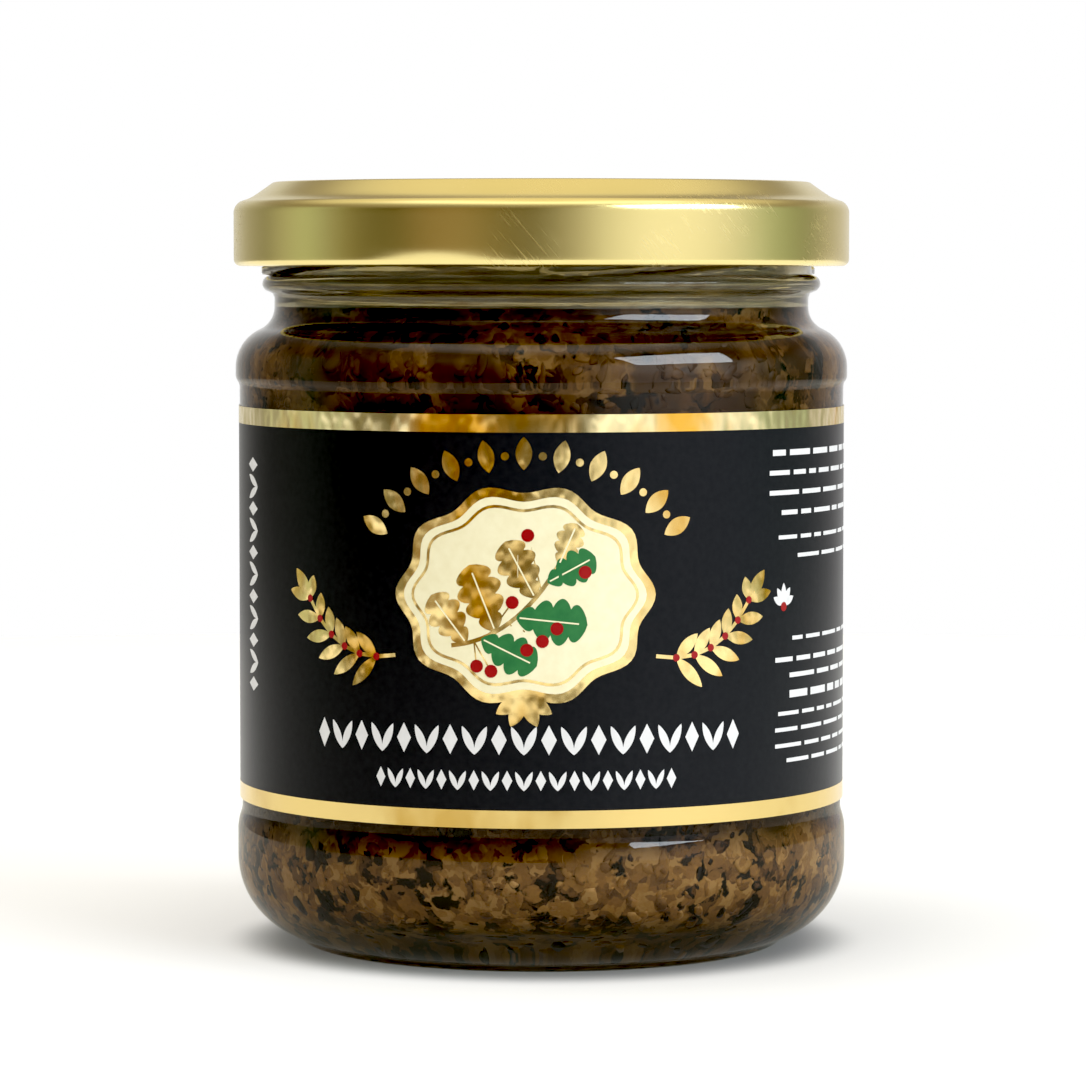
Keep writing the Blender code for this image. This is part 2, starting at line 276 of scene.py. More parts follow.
def truffle_material(name, tone_from_crumb):
    """Brown, ochre and black scraps in dark oil; the oil hides more of them higher up, and painted
    shade darkens them just under the label.
    """
    material, tree, shader = new_material(name)
    place = add_node(tree, "ShaderNodeTexCoord").outputs["Object"]
    bend = add_node(tree, "ShaderNodeTexNoise", {"Vector": place, "Scale": 520.0, "Detail": 3.0})
    shift = add_node(tree, "ShaderNodeVectorMath", {0: bend.outputs["Color"], 1: (0.5, 0.5, 0.5)},
                     operation="SUBTRACT")
    swing = add_node(tree, "ShaderNodeVectorMath", {0: shift.outputs[0], "Scale": 0.0036},
                     operation="SCALE")
    bent = add_node(tree, "ShaderNodeVectorMath", {0: place, 1: swing.outputs[0]}, operation="ADD")
    scraps = add_node(tree, "ShaderNodeTexVoronoi", {"Vector": bent.outputs[0], "Scale": 430.0})
    pieces = add_node(tree, "ShaderNodeTexVoronoi", {"Vector": bent.outputs[0], "Scale": 900.0})
    scrap_tone = add_node(tree, "ShaderNodeSeparateColor", {0: scraps.outputs["Color"]}).outputs[0]
    piece_tone = add_node(tree, "ShaderNodeSeparateColor", {0: pieces.outputs["Color"]}).outputs[1]
    if tone_from_crumb:
        own = add_node(tree, "ShaderNodeAttribute", attribute_name="crumb_tone").outputs["Fac"]
        tone = add_node(tree, "ShaderNodeMath", {0: piece_tone, 1: 0.24, 2: own},
                        operation="MULTIPLY_ADD").outputs[0]
    else:
        half = add_node(tree, "ShaderNodeMath", {0: scrap_tone, 1: 0.62}, operation="MULTIPLY")
        tone = add_node(tree, "ShaderNodeMath", {0: piece_tone, 1: 0.38, 2: half.outputs[0]},
                        operation="MULTIPLY_ADD").outputs[0]
    fine = add_node(tree, "ShaderNodeTexNoise", {"Vector": place, "Scale": 2400.0, "Detail": 4.0})
    grain = add_node(tree, "ShaderNodeMath", {0: fine.outputs["Fac"], 1: 0.22, 2: tone},
                     operation="MULTIPLY_ADD").outputs[0]
    scrap_colour = colour_ramp(tree, grain, SCRAP_TONES)
    height = add_node(tree, "ShaderNodeSeparateXYZ", {0: place}).outputs["Z"]
    in_jar = add_node(tree, "ShaderNodeMapRange", {"Value": height, "From Max": FILL_Z * MM})
    # painted shade: the scraps darken steeply just under the label's lower edge, standing in for
    # its shadow
    oil_and_label_shade = colour_ramp(tree, in_jar.outputs[0], OIL_AND_LABEL_SHADE_LEVELS)
    cloud = add_node(tree, "ShaderNodeTexNoise", {"Vector": place, "Scale": 150.0, "Detail": 2.0})
    pools = add_node(tree, "ShaderNodeMapRange", {"Value": cloud.outputs["Fac"], "From Min": 0.40,
                                                  "From Max": 0.60, "To Min": 0.60, "To Max": 0.98})
    oil = add_node(tree, "ShaderNodeMath", {0: pools.outputs[0], 1: oil_and_label_shade.outputs[0]},
                   operation="MULTIPLY")
    in_oil = add_node(tree, "ShaderNodeMix", {0: oil.outputs[0], 6: scrap_colour.outputs["Color"],
                                              7: OIL_TONE}, data_type="RGBA")
    heaps = add_node(tree, "ShaderNodeTexNoise", {"Vector": bent.outputs[0], "Scale": 230.0,
                                                  "Detail": 3.0, "Roughness": 0.6})
    peel = add_node(tree, "ShaderNodeMapRange", {"Value": heaps.outputs["Fac"], "From Min": 0.60,
                                                 "From Max": 0.63})
    with_peel = add_node(tree, "ShaderNodeMix", {0: peel.outputs[0], 6: in_oil.outputs[2],
                                                 7: PEEL_TONE}, data_type="RGBA")
    # the colour turns olive towards the very bottom of the fill
    near_bottom = add_node(tree, "ShaderNodeMapRange", {
        "Value": height, "From Min": BOTTOM_ZONE[0] * MM, "From Max": BOTTOM_ZONE[1] * MM})
    with_bottom_tone = add_node(tree, "ShaderNodeMix", {0: near_bottom.outputs[0], 6: with_peel.outputs[2],
                                               7: BOTTOM_TONE}, data_type="RGBA")
    tree.links.new(with_bottom_tone.outputs[2], shader.inputs["Base Color"])
    shader.inputs["Roughness"].default_value = 0.4
    shader.inputs["Specular IOR Level"].default_value = 0.12
    return material


def rough_up(shape):
    """Raise crumbs over the whole mass, most of all on its open top."""
    shape.normal_update()
    moves = []
    for vert in shape.verts:
        cells, _ = noise.voronoi(vert.co / (LUMP_SIZE * MM))
        lump = 0.5 - cells[0] + 0.4 * noise.noise(vert.co / (GRAIN_SIZE * MM))
        on_glass = vert.co.xy.length > BORE_R * MM * 0.97 or vert.co.z < FLOOR_Z * MM * 1.1
        rise = max(0.0, lump) * MASS_RELIEF if on_glass else lump * TOP_RELIEF
        moves.append(vert.normal * (rise * MM))
    for vert, move in zip(shape.verts, moves):
        vert.co += move


mass_outline = glass_inside(MASS_GROW) + [(BORE_R + MASS_GROW, FILL_Z - 0.3)]
mass_outline += [(BORE_R - 0.6, FILL_Z), (0.0, FILL_Z - 0.2)]
mass_shape = spin_outline(spaced(mass_outline, MASS_PITCH), MASS_STEPS)
rough_up(mass_shape)
finish_piece("truffle_mass", mass_shape, truffle_material("truffle_in_oil", False), "jar",
             "ground_truffle", sharp=180)

CRUMB_ZONES = [
    {"zone": (4.9, 17.5), "count": 1500, "half": (0.5, 1.5), "seed": 5},
    {"zone": (57.0, 69.2), "count": 900, "half": (0.5, 1.7), "seed": 9},
]
CRUMB_THICK, CRUMB_STAND, CRUMB_DEPTH = 0.9, (0.04, 0.10), 0.35
CRUMB_TONES, CRUMB_TONE_SHARES = (0.05, 0.34, 0.46, 0.58), (0.22, 0.26, 0.34, 0.18)
CRUMB_HANDFUL = 40
CRUMB_CUTS = 5


def wall_places(zone):
    """Points along the inner wall inside a range of heights, each with its outward slope."""
    line = spaced(glass_inside(0.0), 0.3)
    places = []
    for (r0, z0), (r1, z1) in zip(line, line[1:]):
        if zone[0] <= z0 <= zone[1]:
            slope = math.atan2(r0 - r1, z1 - z0)
            places.append((r0, z0, slope))
    return places


def scatter_crumbs(shape, tones, zone, count, half, seed):
    """Chopped bits: round lumps with a few flat cuts, lying flat against the glass."""
    draw = random.Random(seed)
    places = wall_places(zone)
    weights = [place[0] for place in places]
    for _ in range(count):
        radius, height, slope = draw.choices(places, weights)[0]
        turn = Matrix.Rotation(draw.uniform(0, math.tau), 4, "Z")
        lean = Matrix.Rotation(-slope, 4, "Y")
        spin = Matrix.Rotation(draw.uniform(0, math.tau), 4, "X")
        long_half = draw.uniform(*half)
        wide_half = long_half * draw.uniform(0.4, 0.85)
        stand = draw.uniform(*CRUMB_STAND)
        made = bmesh.ops.create_uvsphere(shape, u_segments=9, v_segments=5, radius=1.0)["verts"]
        tone = draw.choices(CRUMB_TONES, CRUMB_TONE_SHARES)[0]
        tone += draw.uniform(-0.04, 0.06)
        offset = Vector((draw.random(), draw.random(), draw.random())) * 40
        cuts = []
        for _ in range(CRUMB_CUTS):
            way = draw.uniform(0, math.tau)
            cuts.append((Vector((0, math.cos(way), math.sin(way))), draw.uniform(0.45, 0.85)))
        place = turn @ Matrix.Translation((radius * MM, 0, height * MM)) @ lean @ spin
        for vert in made:
            ball = Vector((vert.co.z, vert.co.x, vert.co.y))
            lump = ball * (1 + 0.3 * noise.noise(ball * 1.6 + offset)
                           + 0.34 * noise.noise(ball * 3.4 + offset))
            for way, limit in cuts:
                lump -= way * max(0.0, lump.dot(way) - limit)
            out = min(lump.x * CRUMB_THICK, CRUMB_DEPTH) - CRUMB_DEPTH + stand
            vert.co = place @ (Vector((out, lump.y * wide_half, lump.z * long_half)) * MM)
            vert[tones] = tone


crumb_shape = bmesh.new()
for crumbs in CRUMB_ZONES:
    left = crumbs["count"]
    while left > 0:
        handful = bmesh.new()
        tones = handful.verts.layers.float.new("crumb_tone")
        scatter_crumbs(handful, tones, crumbs["zone"], min(left, CRUMB_HANDFUL), crumbs["half"],
                       crumbs["seed"] + left)
        mesh = bpy.data.meshes.new("handful")
        handful.to_mesh(mesh)
        handful.free()
        crumb_shape.from_mesh(mesh)
        bpy.data.meshes.remove(mesh)
        left -= CRUMB_HANDFUL
finish_piece("truffle_crumbs", crumb_shape, truffle_material("truffle_crumb", True), "jar",
             sharp=180)

# The film of oil and fine scraps left on the bore above the fill, from when the jar was
# turned over. It is part of the contents, and shows olive and brown through the neck; its
# pale and dark bands are partly the film's own uneven tone and partly painted glints of the
# lid's gold.
FILM_TOP_Z, FILM_OUTER_R, FILM_INNER_R = 79.5, 27.03, 26.85
FILM_LOW_Z = FILL_Z - 0.4
FILM_TONES = [(0.36, (0.66, 0.58, 0.44)), (0.46, (0.79, 0.73, 0.58)), (0.54, (0.88, 0.82, 0.67)),
              (0.63, (0.96, 0.92, 0.80)), (0.74, (0.72, 0.62, 0.46))]
FILM_CLEAR = 0.86

oil_film, tree, shader = new_material("oil_film")
place = add_node(tree, "ShaderNodeTexCoord").outputs["Object"]
# partly painted glints: the film's colour runs in fine horizontal bands of pale and dark olive,
# standing in for the lid's gold mirrored in it
glint_band_stretch = add_node(tree, "ShaderNodeMapping", {"Vector": place, "Scale": (1.0, 1.0, 7.0)})
streak_and_glint = add_node(tree, "ShaderNodeTexNoise", {"Vector": glint_band_stretch.outputs[0], "Scale": 75.0,
                                               "Detail": 3.0, "Roughness": 0.6})
shade = colour_ramp(tree, streak_and_glint.outputs["Fac"], FILM_TONES)
tree.links.new(shade.outputs["Color"], shader.inputs["Base Color"])
shader.inputs["Roughness"].default_value = 0.2
shader.inputs["Specular IOR Level"].default_value = 0.2
thin_oil = add_node(tree, "ShaderNodeBsdfTransparent", {"Color": shade.outputs["Color"]})
smear = add_node(tree, "ShaderNodeMixShader", {0: FILM_CLEAR, 1: shader.outputs[0],
                                               2: thin_oil.outputs[0]})
tree.links.new(smear.outputs[0], tree.nodes["Material Output"].inputs["Surface"])
film_outline = [(FILM_OUTER_R, FILM_TOP_Z), (FILM_OUTER_R, FILM_LOW_Z),
                (FILM_INNER_R, FILM_LOW_Z), (FILM_INNER_R, FILM_TOP_Z)]
film_shape = spin_outline(film_outline, MASS_STEPS, closed=True)
finish_piece("oil_film", film_shape, oil_film, "jar")

# The label: one sheet of black coated paper glued round the panel, its ends lapped at the
# back. A band of hot-stamped gold foil runs along its top and its lower edge.
LABEL_R, LABEL_THICK = 33.0, 0.06
LABEL_LOW_Z, LABEL_TOP_Z = 15.95, 58.6
LABEL_STEPS = 180
BAND_HIGH, FOIL_THICK = 1.85, 0.02

black_paper, tree, shader = new_material("black_coated_paper")
place = add_node(tree, "ShaderNodeTexCoord").outputs["Object"]
fibre = add_node(tree, "ShaderNodeTexNoise", {"Vector": place, "Scale": 1500.0, "Detail": 3.0})
shade = colour_ramp(tree, fibre.outputs["Fac"], [(0.0, (0.025, 0.0255, 0.0275)),
                                                 (1.0, (0.033, 0.0335, 0.036))])
tree.links.new(shade.outputs["Color"], shader.inputs["Base Color"])
orange_peel = add_node(tree, "ShaderNodeBump", {"Height": fibre.outputs["Fac"], "Strength": 0.08,
                                                "Distance": 0.00005})
tree.links.new(orange_peel.outputs[0], shader.inputs["Normal"])
shader.inputs["Roughness"].default_value = 0.28
shader.inputs["Specular IOR Level"].default_value = 0.14

inner_r = LABEL_R - LABEL_THICK
sheet_outline = [(LABEL_R, LABEL_TOP_Z), (LABEL_R, LABEL_LOW_Z), (inner_r, LABEL_LOW_Z),
                 (inner_r, LABEL_TOP_Z)]
sheet_shape = spin_outline(sheet_outline, LABEL_STEPS, closed=True)
finish_piece("label_sheet", sheet_shape, black_paper, "jar", "label")


def foil_material(name, pale, deep, size, crinkle):
    """Gold foil in pale and deep orange patches, partly a printed gold-effect shading and partly
    painted reflections of the creased foil.
    """
    material, tree, shader = new_material(name)
    place = add_node(tree, "ShaderNodeTexCoord").outputs["Object"]
    stretch = add_node(tree, "ShaderNodeMapping", {"Vector": place, "Scale": (1.0, 1.0, 0.6)})
    cloud = add_node(tree, "ShaderNodeTexNoise", {"Vector": stretch.outputs[0], "Scale": size,
                                                  "Detail": 4.0, "Roughness": 0.58})
    # partly painted reflections: the base colour swings between pale and deep orange in patches
    # that follow the creases
    mix = colour_ramp(tree, cloud.outputs["Fac"], [(0.37, deep), (0.50, pale)])
    crease = add_node(tree, "ShaderNodeBump", {"Height": cloud.outputs["Fac"],
                                               "Strength": crinkle, "Distance": 0.004})
    tree.links.new(mix.outputs["Color"], shader.inputs["Base Color"])
    tree.links.new(crease.outputs[0], shader.inputs["Normal"])
    shader.inputs["Metallic"].default_value = 1.0
    shader.inputs["Roughness"].default_value = 0.2
    return material


def foil_band(name, band_top, material):
    outer_r, back_r, band_low = LABEL_R + FOIL_THICK, LABEL_R - FOIL_THICK, band_top - BAND_HIGH
    band_outline = [(outer_r, band_top), (outer_r, band_low), (back_r, band_low),
                    (back_r, band_top)]
    band = spin_outline(band_outline, LABEL_STEPS, closed=True)
    finish_piece(name, band, material, "jar", "label")


foil_band("label_foil_top", LABEL_TOP_Z,
          foil_material("foil_top", (1.0, 0.85, 0.48), (0.94, 0.53, 0.10), 62.0, 0.5))
foil_band("label_foil_low", LABEL_LOW_Z + BAND_HIGH,
          foil_material("foil_low", (0.80, 0.61, 0.25), (0.62, 0.42, 0.13), 62.0, 0.06))

LAP_SPREAD, LAP_THICK = 8.0, 0.05


def lapped_end(name, low_z, top_z, inner_r, material):
    """The end of the sheet or of a band, glued over the other end at the back."""
    shape = bmesh.new()
    corners = [(inner_r + LAP_THICK, top_z), (inner_r + LAP_THICK, low_z), (inner_r, low_z),
               (inner_r, top_z)]
    ring = bmesh.ops.create_circle(shape, cap_ends=True, segments=4, radius=1.0)["verts"]
    for vert, (r, z) in zip(ring, corners):
        vert.co = (r * MM, 0.0, z * MM)
    bmesh.ops.spin(shape, geom=shape.faces[:], cent=(0, 0, 0), axis=(0, 0, 1), dvec=(0, 0, 0),
                   angle=math.radians(LAP_SPREAD), steps=6)
    bmesh.ops.rotate(shape, verts=shape.verts, cent=(0, 0, 0),
                     matrix=Matrix.Rotation(math.radians(90 - LAP_SPREAD / 2), 3, "Z"))
    bmesh.ops.remove_doubles(shape, verts=shape.verts, dist=0.0001 * MM)
    bmesh.ops.recalc_face_normals(shape, faces=shape.faces)
    finish_piece(name, shape, material, "jar", "label", sharp=30)


lapped_end("label_lap", LABEL_LOW_Z, LABEL_TOP_Z, LABEL_R + FOIL_THICK / 2, black_paper)
for name, low_z in (("lap_foil_low", LABEL_LOW_Z), ("lap_foil_top", LABEL_TOP_Z - BAND_HIGH)):
    lapped_end(name, low_z, low_z + BAND_HIGH, LABEL_R + LAP_THICK,
               bpy.data.materials["foil_" + name[-3:]])

# The print on the label: a made-up ornament, hot-stamped in gold and printed in cream, red,
# green and white: a lobed plaque with an oak sprig, laurel branches, an arc of leaves, friezes
# and rules. It is drawn flat, in millimetres along the paper and up, then bent round.
PRINT_TURN, PRINT_THICK, PRINT_LAYER = -1.8, 0.012, 0.008
PRINT_SLICE = 1.5
PLAQUE_Z, PLAQUE_HALF, PLAQUE_LOBES, PLAQUE_LOBE_HIGH = 40.0, (12.3, 10.1), 10, 0.045
PLAQUE_POINTS, PLAQUE_BORDER = 120, 0.95
DOT_POINTS = 14


def flat_form(shape, points, layer=0):
    """A flat area of print with this outline."""
    ring = bmesh.ops.create_circle(shape, cap_ends=True, segments=len(points), radius=1.0)
    for vert, (along, up) in zip(ring["verts"], points):
        vert.co = (along, -layer * PRINT_LAYER, up)


def dot(shape, along, up, radius, layer=0):
    turns = [math.tau * step / DOT_POINTS for step in range(DOT_POINTS)]
    flat_form(shape, [(along + radius * math.cos(turn), up + radius * math.sin(turn))
                      for turn in turns], layer)


def leaf(shape, along, up, angle, length, half_wide, lobes=0, layer=0):
    """A pointed leaf from its foot, or one with round lobes and a broad end."""
    way, side = math.radians(angle), []
    steps = 36 if lobes else 14
    for step in range(steps + 1):
        share = step / steps
        wide = half_wide * math.sin(math.pi * share) ** 0.8
        if lobes:
            round_end = min(1.0, math.sin(math.pi * share) ** 0.5)
            wide = half_wide * round_end * (0.5 + 0.5 * share)
            wide *= 0.62 + 0.38 * abs(math.sin(math.pi * share * lobes)) ** 0.7
        side.append((share * length, max(wide, 0.0)))
    outline = side + [(far, -wide) for far, wide in side[-2:0:-1]]
    flat_form(shape, [(along + far * math.cos(way) - wide * math.sin(way),
                       up + far * math.sin(way) + wide * math.cos(way))
                      for far, wide in outline], layer)


def line_of_print(shape, points, wide, layer=0):
    """A thin line of even width through these points."""
    spots = [Vector(point) for point in points]
    rungs = []
    for index, spot in enumerate(spots):
        along = spots[min(index + 1, len(spots) - 1)] - spots[max(index - 1, 0)]
        across = Vector((-along.y, along.x)).normalized() * wide / 2
        rungs.append((spot + across, spot - across))
    depth = -layer * PRINT_LAYER
    first = [shape.verts.new((point.x, depth, point.y)) for point in rungs[0]]
    edge = shape.edges.new(first)
    for left, right in rungs[1:]:
        grown = bmesh.ops.extrude_edge_only(shape, edges=[edge])["geom"]
        edge = next(item for item in grown if isinstance(item, bmesh.types.BMEdge))
        one, other = edge.verts
        if (one.co.xz - rungs[0][0]).length > (other.co.xz - rungs[0][0]).length:
            one, other = other, one
        one.co, other.co = (left.x, depth, left.y), (right.x, depth, right.y)
        rungs[0] = (left, right)


def curve_points(start, pull, end, steps):
    start, pull, end = Vector(start), Vector(pull), Vector(end)
    shares = [step / steps for step in range(steps + 1)]
    return [start * (1 - t) ** 2 + pull * 2 * t * (1 - t) + end * t ** 2 for t in shares]


def plaque_points(grow):
    points = []
    for step in range(PLAQUE_POINTS):
        turn = math.tau * step / PLAQUE_POINTS
        swell = 1 + PLAQUE_LOBE_HIGH * math.cos(PLAQUE_LOBES * turn)
        points.append(((PLAQUE_HALF[0] + grow) * swell * math.cos(turn),
                       PLAQUE_Z + (PLAQUE_HALF[1] + grow) * swell * math.sin(turn)))
    return points


def bend_round_label(shape):
    """Slice the flat print, give it its thickness, and bend it round the paper."""
    bmesh.ops.triangulate(shape, faces=shape.faces)
    reach = max(abs(vert.co.x) for vert in shape.verts)
    cuts = math.ceil(reach / PRINT_SLICE)
    for cut in range(-cuts, cuts + 1):
        everything = shape.verts[:] + shape.edges[:] + shape.faces[:]
        bmesh.ops.bisect_plane(shape, geom=everything, plane_co=(cut * PRINT_SLICE, 0, 0),
                               plane_no=(1, 0, 0))
    grown = bmesh.ops.extrude_face_region(shape, geom=shape.faces[:])["geom"]
    for item in grown:
        if isinstance(item, bmesh.types.BMVert):
            item.co.y -= PRINT_THICK
    bmesh.ops.recalc_face_normals(shape, faces=shape.faces)
    for vert in shape.verts:
        radius = LABEL_R - vert.co.y
        turn = (vert.co.x + PRINT_TURN) / LABEL_R
        vert.co = Vector((radius * math.sin(turn), -radius * math.cos(turn), vert.co.z)) * MM


def ink_material(name, dark, light, roughness):
    material, tree, shader = new_material(name)
    place = add_node(tree, "ShaderNodeTexCoord").outputs["Object"]
    grain = add_node(tree, "ShaderNodeTexNoise", {"Vector": place, "Scale": 900.0, "Detail": 3.0})
    tone = colour_ramp(tree, grain.outputs["Fac"], [(0.0, dark), (1.0, light)])
    tree.links.new(tone.outputs["Color"], shader.inputs["Base Color"])
    shader.inputs["Roughness"].default_value = roughness
    return material


gold, cream, red, green, white = (bmesh.new() for _ in range(5))

flat_form(gold, plaque_points(PLAQUE_BORDER))
flat_form(cream, plaque_points(0.0), 1)
inner_line = plaque_points(-PLAQUE_BORDER)
line_of_print(gold, inner_line + inner_line[:1], 0.3, 2)

SPRIG = curve_points((-7.6, 34.8), (-1.0, 35.4), (3.6, 43.2), 16)
# Each leaf has its stop on the stem, its angle and its length; each berry its stop and place.
SPRIG_LEAVES = [(2, 128, 6.2), (4, -26, 6.4), (6, 112, 7.4), (9, -6, 7.4), (12, 118, 6.6),
                (14, 28, 5.6), (16, 66, 4.6)]
line_of_print(gold, SPRIG, 0.45, 1.5)
for order, (stop, angle, length) in enumerate(SPRIG_LEAVES):
    foot = SPRIG[stop]
    ink = green if order % 2 else gold
    leaf(ink, foot.x, foot.y, angle, length, length * 0.42, lobes=4, layer=2 + order % 2)
    vein = [(foot.x + length * part * math.cos(math.radians(angle)),
             foot.y + length * part * math.sin(math.radians(angle))) for part in (0.05, 0.5, 0.88)]
    line_of_print(cream, vein, 0.16, 4)
BERRIES = [(3, -3.4, 32.2), (3, -4.9, 32.7), (5, -1.2, 39.3), (8, 1.9, 35.3),
           (10, 3.4, 36.6), (8, 0.3, 34.4), (13, 0.4, 46.2), (15, 6.3, 42.4)]
BERRY_R = 0.68
for stop, along, up in BERRIES:
    line_of_print(gold, [SPRIG[stop], (along, up)], 0.16, 1.2)
    dot(red, along, up, BERRY_R, 5)

LAUREL_STEPS = 6
for side in (-1, 1):
    branch = curve_points((side * 13.9, 33.6), (side * 21.0, 32.2), (side * 25.4, 39.0),
                          LAUREL_STEPS)
    line_of_print(gold, branch, 0.4)
    for stop in range(1, LAUREL_STEPS + 1):
        foot, behind = branch[stop], branch[stop - 1]
        heading = math.degrees(math.atan2(foot.y - behind.y, foot.x - behind.x))
        for lean, length in ((side * 50, 3.7), (side * -40, 4.6)):
            leaf(gold, foot.x, foot.y, heading + lean, length - 0.2 * stop, 0.68)
        dot(red, foot.x, foot.y, 0.4, 1)
    leaf(gold, branch[-1].x, branch[-1].y, heading, 3.8, 0.8)

FAN_FOOT_Z, FAN_LEANS = 29.6, (-58, -24, 24, 58)
for lean in FAN_LEANS:
    leaf(gold, 0, FAN_FOOT_Z, -90 + lean, 3.4, 0.8)

ARC_CENTRE_Z, ARC_HALF, ARC_ENDS, ARC_COUNT = 39.4, (18.6, 15.0), (150, 30), 21
for index in range(ARC_COUNT):
    turn = math.radians(ARC_ENDS[0] + (ARC_ENDS[1] - ARC_ENDS[0]) * index / (ARC_COUNT - 1))
    along, up = ARC_HALF[0] * math.cos(turn), ARC_CENTRE_Z + ARC_HALF[1] * math.sin(turn)
    if index % 2:
        dot(gold, along, up, 0.42)
    else:
        leaf(gold, along - 1.5 * math.cos(turn), up - 1.5 * math.sin(turn), math.degrees(turn),
             3.4, 0.85)


def frieze(shape, along, up, turn, count, pitch, high):
    """A row of lozenges with a spread pair of leaves between each two of them."""
    way = math.radians(turn)
    for index in range(count):
        off = (index - (count - 1) / 2) * pitch
        x, z = along + off * math.cos(way), up + off * math.sin(way)
        if index % 2:
            foot_x, foot_z = x + high / 2 * math.sin(way), z - high / 2 * math.cos(way)
            for lean in (-24, 24):
                leaf(shape, foot_x, foot_z, turn + 90 + lean, high * 1.04, high * 0.14)
        else:
            flat_form(shape, [(x + far * math.cos(way) - rise * math.sin(way),
                               z + far * math.sin(way) + rise * math.cos(way))
                              for far, rise in ((high * 0.26, 0), (0, high / 2),
                                                (-high * 0.26, 0), (0, -high / 2))])


frieze(white, 0.0, 25.1, 0, 19, 2.58, 3.1)
frieze(white, 0.0, 20.9, 0, 19, 1.74, 2.1)
frieze(white, -38.0, 40.8, 90, 11, 2.35, 3.0)

RULE_CENTRE, RULE_SEED, RULE_RUN, RULE_GAP = 45.5, 21, (1.6, 5.2), 0.75
FLOWER_AT, FLOWER_FOOT = RULE_CENTRE - 14.6, 38.2
# Each row of rules has its height on the jar, its length and the height of its strokes.
RULE_ROWS = [(54.2, 33, 0.62), (52.1, 34, 0.5), (50.0, 34, 0.5), (47.9, 30, 0.5),
             (45.3, 31, 0.42), (43.3, 24, 0.42), (34.6, 26, 0.42), (32.4, 32, 0.5),
             (30.7, 27, 0.5), (28.7, 27, 0.78), (26.7, 31, 0.42), (25.0, 32, 0.42),
             (23.3, 32, 0.42), (21.7, 28, 0.42)]
draw = random.Random(RULE_SEED)
for up, long, high in RULE_ROWS:
    along, end = RULE_CENTRE - long / 2, RULE_CENTRE + long / 2
    while along < end:
        run = min(draw.uniform(*RULE_RUN), end - along)
        line_of_print(white, [(along, up), (along + run, up)], high)
        along += run + RULE_GAP
for index in range(-2, 3):
    leaf(white, FLOWER_AT, FLOWER_FOOT, 90 + index * 32, 2.3 - 0.2 * abs(index), 0.42)
dot(red, FLOWER_AT, FLOWER_FOOT - 0.2, 0.5, 1)

PRINTS = [
    ("print_gold", gold, foil_material("print_foil", (1.0, 0.78, 0.36), (0.66, 0.36, 0.06), 90.0,
                                       0.3)),
    ("print_cream", cream, ink_material("cream_ink", (0.80, 0.73, 0.46), (0.92, 0.87, 0.62), 0.4)),
    ("print_red", red, ink_material("red_ink", (0.26, 0.010, 0.012), (0.36, 0.014, 0.016), 0.35)),
    ("print_green", green, ink_material("green_ink", (0.020, 0.13, 0.045), (0.05, 0.22, 0.07),
                                        0.35)),
    ("print_white", white, ink_material("white_ink", (0.66, 0.66, 0.66), (0.80, 0.80, 0.80), 0.4)),
]
for name, shape, ink in PRINTS:
    bend_round_label(shape)
    finish_piece(name, shape, ink, "jar", "label", sharp=30)

# The gasket: a ring of soft, cream sealing compound. It is flowed into the channel under
# the lid's raised ring and baked there, and it closes on the glass rim.
compound, tree, shader = new_material("sealing_compound")
place = add_node(tree, "ShaderNodeTexCoord").outputs["Object"]
speckle = add_node(tree, "ShaderNodeTexNoise", {"Vector": place, "Scale": 1800.0})
shade = colour_ramp(tree, speckle.outputs["Fac"], [(0.0, (0.55, 0.49, 0.36)),
                                                   (1.0, (0.68, 0.62, 0.48))])
tree.links.new(shade.outputs["Color"], shader.inputs["Base Color"])
shader.inputs["Roughness"].default_value = 0.5
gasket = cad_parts["sealing_gasket"]
gasket.data.materials.clear()
gasket.data.materials.append(compound)

# The lid: one pressing of thin tinplate under gold lacquer. Its lower edge is rolled
# inwards into a curl, and the curl is pressed flat in four places to make the lugs.
LID_R, LID_TOP_Z, LID_LOW_Z, LID_THICK = 33.5, 82.8, 73.7, 0.22
CORNER_R, CORNER_Z, CURL_R = 1.45, 79.43, 0.75
LID_STEPS = 288
LUG_ANGLE, LUG_SPREAD, LUG_TAB_SPREAD = -19.5, 17.0, 8.0
LUG_RISE, LUG_PRESS, LUG_REACH = 1.9, 0.22, 1.75


def lid_outline():
    top = [(0.0, 81.72), (4.0, 81.70), (8.0, 81.62), (9.6, 81.55), (10.2, 81.57), (11.0, 81.84),
           (11.7, 81.9), (18.0, 81.9), (24.0, 81.9), (24.6, 81.95)]
    ring = arc(25.6, 82.3, 0.5, 165, 90, 4) + [(27.0, LID_TOP_Z)] + arc(28.9, 82.0, 0.8, 90, 50, 4)
    slope = [(30.2, 82.05), (30.85, 81.6), (31.35, 81.27), (31.65, 81.11), (32.0, 80.96),
             (32.5, 80.78)]
    corner = arc(LID_R - CORNER_R, CORNER_Z, CORNER_R, 62, 0, 10)
    skirt = [(LID_R, z) for z in (79.0, 78.0, 77.0, 76.5, 76.1, 75.7, 75.3, 74.9)]
    curl = arc(LID_R - CURL_R, LID_LOW_Z + CURL_R, CURL_R, 0, -250, 18)
    outer = top + ring + slope + corner
    inner_skirt = [(LID_R - LID_THICK, 75.6), (LID_R - LID_THICK, 78.0)]
    under = []
    for r, z in reversed(outer):
        lean = LID_THICK * 0.6 if 20.0 < r < 27.0 else -LID_THICK * 0.6
        under.append((max(0.0, r + lean) if r > 0 else 0.0, z - LID_THICK))
    return outer + skirt + curl + inner_skirt + under


